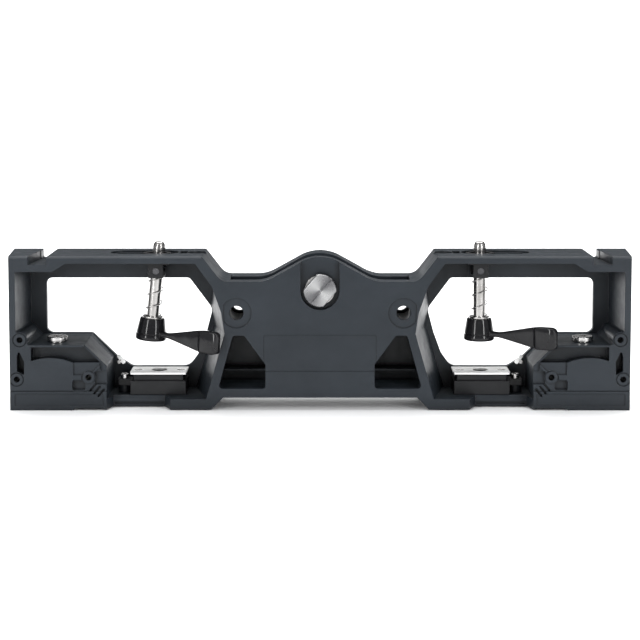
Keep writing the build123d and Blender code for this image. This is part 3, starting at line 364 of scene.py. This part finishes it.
def addArm(mesh, side):
    hub = set(mesh.verts)
    reach, halfHeight, halfThick = armLook["stations"][0]
    start = bmesh.ops.create_grid(mesh, x_segments=1, y_segments=1, size=1)["verts"]
    quarterTurn(mesh, start, "Y")
    bmesh.ops.scale(mesh, verts=start, vec=(1, halfThick * mm, halfHeight * mm))
    bmesh.ops.translate(mesh, verts=start, vec=(reach * mm, 0, 0))
    root = start[0].link_faces[0]
    face = root
    for before, after in zip(armLook["stations"], armLook["stations"][1:]):
        grown = bmesh.ops.extrude_face_region(mesh, geom=[face])
        tip = [item for item in grown["geom"] if isinstance(item, bmesh.types.BMVert)]
        if face is not root:
            bmesh.ops.delete(mesh, geom=[face], context="FACES_ONLY")
        face = next(item for item in grown["geom"] if isinstance(item, bmesh.types.BMFace))
        bmesh.ops.translate(mesh, verts=tip, vec=((after[0] - before[0]) * mm, 0, 0))
        bmesh.ops.scale(mesh, verts=tip, vec=(1, after[2] / before[2], after[1] / before[1]))
    corners = [edge for edge in mesh.edges if not hub.intersection(edge.verts)
               and abs(edge.verts[0].co.x - edge.verts[1].co.x) > armLook["shortestLength"] * mm]
    bmesh.ops.bevel(mesh, geom=corners + list(face.edges), offset=armLook["round"] * mm,
                    offset_type="OFFSET", segments=4, profile=0.5, affect="EDGES", clamp_overlap=True,
                    material=-1)
    arm = [vert for vert in mesh.verts if vert not in hub]
    rise = Matrix.Rotation(math.radians(-armLook["rise"][side]), 3, "Y")
    swing = Matrix.Rotation(math.radians(armLook["angle"]), 3, "Z")
    bmesh.ops.rotate(mesh, verts=arm, cent=(0, 0, 0), matrix=rise)
    bmesh.ops.translate(mesh, verts=arm, vec=(0, 0, armLook["height"] * mm))
    bmesh.ops.rotate(mesh, verts=arm, cent=(0, 0, 0), matrix=swing)


def makeLever(side):
    mesh = bmesh.new()
    addHub(mesh)
    addArm(mesh, side)
    lever = ridingPiece(f"{side}_lever_handle", mesh, side, "lever", "lever_plastic", armLook["smoothAngle"])
    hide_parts(f"{side}_clamp_lever")


# springs: open coils of thin wire, built at a fixed length
# anchor 1 is the top end and 0 the bottom end
springLooks = {
    "stud_spring": {"coilRadius": 5.05, "wireRadius": 0.36, "turns": 3, "steps": 48, "sides": 12,
                    "gap": 0.15, "body": "swivel", "joint": "stud_lift", "anchor": 1},
    "lever_spring": {"coilRadius": 4.0, "wireRadius": 0.3, "turns": 3, "steps": 40, "sides": 10,
                     "gap": 0.05, "body": "stud", "joint": "lever_index", "anchor": 0},
}
wireSmoothAngle = 80


def makeSpring(side, kind):
    look = springLooks[kind]
    ends = [corner.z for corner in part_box("right_" + kind)]
    length = ends[1] - ends[0] - 2 * (look["wireRadius"] + look["gap"]) * mm
    mesh = bmesh.new()
    wire = bmesh.ops.create_circle(mesh, cap_ends=True, segments=look["sides"],
                                   radius=look["wireRadius"] * mm)["verts"]
    quarterTurn(mesh, wire, "X")
    bmesh.ops.translate(mesh, verts=wire, vec=(look["coilRadius"] * mm, 0, (sum(ends) - length) / 2))
    count = look["turns"] * look["steps"]
    bmesh.ops.spin(mesh, geom=mesh.faces[:], cent=(0, 0, 0), axis=(0, 0, 1), dvec=(0, 0, length / count),
                   angle=2 * math.pi * look["turns"], steps=count)
    spring = ridingPiece(f"{side}_{kind}_coil", mesh, side, look["body"], "spring_steel", wireSmoothAngle)
    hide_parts(f"{side}_{kind}")
    anchor = studFrame(side) @ Vector((0, 0, ends[look["anchor"]]))
    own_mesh(spring)


for side in ("left", "right"):
    makeLever(side)
    for kind in springLooks:
        makeSpring(side, kind)
print("levers and springs made")

# floor, light and camera
studio = {
    "paperDark": (0.86, 0.86, 0.86),
    "paperLight": (0.88, 0.88, 0.88),
    "clothDark": (0.02, 0.02, 0.02),
    "clothLight": (0.04, 0.04, 0.04),
    "floorHalf": 3.0,
    "backAt": 2.4,
    "sweepRadius": 1.2,
    "world": 0.5,
    "flagWidth": 3.0,
    "flagHeight": 0.65,
    "flagBottom": 0.105,
    "flagAt": 0.55,
}


def matteSurface(name, dark, light, size, roughness):
    material, tree, shader = newMaterial(name)
    weave = noise(tree, objectCoordinates(tree), size, 3.0)
    tree.links.new(mixColour(tree, weave, dark, light), shader.inputs["Base Color"])
    shader.inputs["Roughness"].default_value = roughness
    return material


def makeFloor():
    mesh = bmesh.new()
    bmesh.ops.create_grid(mesh, x_segments=1, y_segments=1, size=studio["floorHalf"])
    backEdge = [edge for edge in mesh.edges if all(vert.co.y > 0 for vert in edge.verts)]
    for vert in mesh.verts:
        if vert.co.y > 0:
            vert.co.y = studio["backAt"]
    corner = list(backEdge)
    grown = bmesh.ops.extrude_edge_only(mesh, edges=backEdge)
    raised = [item for item in grown["geom"] if isinstance(item, bmesh.types.BMVert)]
    bmesh.ops.translate(mesh, verts=raised, vec=(0, 0, studio["floorHalf"]))
    bmesh.ops.bevel(mesh, geom=corner, offset=studio["sweepRadius"], offset_type="OFFSET", segments=24,
                    profile=0.5, affect="EDGES", material=-1)
    paper = matteSurface("floor_paper", studio["paperDark"], studio["paperLight"], 30, 0.9)
    floor = newObject("studio_floor", mesh, paper)
    floor.data.shade_smooth()


# a dark flag that only reflections see, so that level top faces don't mirror the bright backdrop
def makeFlag():
    mesh = bmesh.new()
    bmesh.ops.create_grid(mesh, x_segments=1, y_segments=1, size=0.5)
    bmesh.ops.scale(mesh, verts=mesh.verts, vec=(studio["flagWidth"], studio["flagHeight"], 1))
    quarterTurn(mesh, mesh.verts, "X")
    middleHeight = studio["flagBottom"] + studio["flagHeight"] / 2
    bmesh.ops.translate(mesh, verts=mesh.verts, vec=(0, studio["flagAt"], middleHeight))
    cloth = matteSurface("flag_cloth", studio["clothDark"], studio["clothLight"], 60, 1.0)
    flag = newObject("studio_flag", mesh, cloth)
    flag.visible_camera = False
    flag.visible_diffuse = False
    flag.visible_shadow = False
    flag.visible_transmission = False


def addLight(name, place, target, size, power):
    lamp = bpy.data.lights.new(name, "AREA")
    lamp.shape = "RECTANGLE"
    lamp.size, lamp.size_y = size
    lamp.energy = power
    holder = bpy.data.objects.new(name, lamp)
    bpy.context.collection.objects.link(holder)
    holder.location = place
    holder.rotation_euler = (Vector(target) - Vector(place)).to_track_quat("-Z", "Y").to_euler()


# name, place, what it is turned to, size and power
lights = [
    ("overhead", (0, 0.25, 1.3), (0, 0, 0.05), (1.8, 1.2), 26),
    ("left_strip", (-0.75, -0.95, 0.45), (-0.17, 0, 0.05), (0.14, 1.0), 7.5),
    ("right_strip", (0.75, -0.95, 0.45), (0.17, 0, 0.05), (0.14, 1.0), 7.5),
    ("back_glow", (0, 1.5, 0.7), (0, 0, 0.1), (2.6, 1.0), 22),
    ("backdrop_wash", (0, 1.0, 2.0), (0, 2.4, 0.7), (3.0, 0.6), 45),
]


def setUpStudio():
    makeFloor()
    makeFlag()
    for entry in lights:
        addLight(*entry)
    world = bpy.data.worlds.new("studio_world")
    bpy.context.scene.world = world
    world.use_nodes = True
    sky = world.node_tree.nodes["Background"]
    sky.inputs["Color"].default_value = (0.95, 0.97, 1.0, 1)
    sky.inputs["Strength"].default_value = studio["world"]
    bpy.context.scene.view_settings.view_transform = "Standard"


cameraSetting = {"distance": 1.008, "height": 0.2208, "aim": 0.1387, "lens": 90.9, "sensor": 36,
                 "rise": -0.2}


def placeCamera():
    data = bpy.data.cameras.new("studio_camera")
    data.lens = cameraSetting["lens"]
    data.sensor_width = cameraSetting["sensor"]
    data.shift_y = cameraSetting["rise"]
    camera = bpy.data.objects.new("studio_camera", data)
    bpy.context.collection.objects.link(camera)
    camera.location = (0, frontEdge - cameraSetting["distance"], cameraSetting["height"])
    aim = Vector((0, frontEdge, cameraSetting["aim"])) - camera.location
    camera.rotation_euler = aim.to_track_quat("-Z", "Y").to_euler()
    bpy.context.scene.camera = camera


setUpStudio()
placeCamera()
print("studio ready")
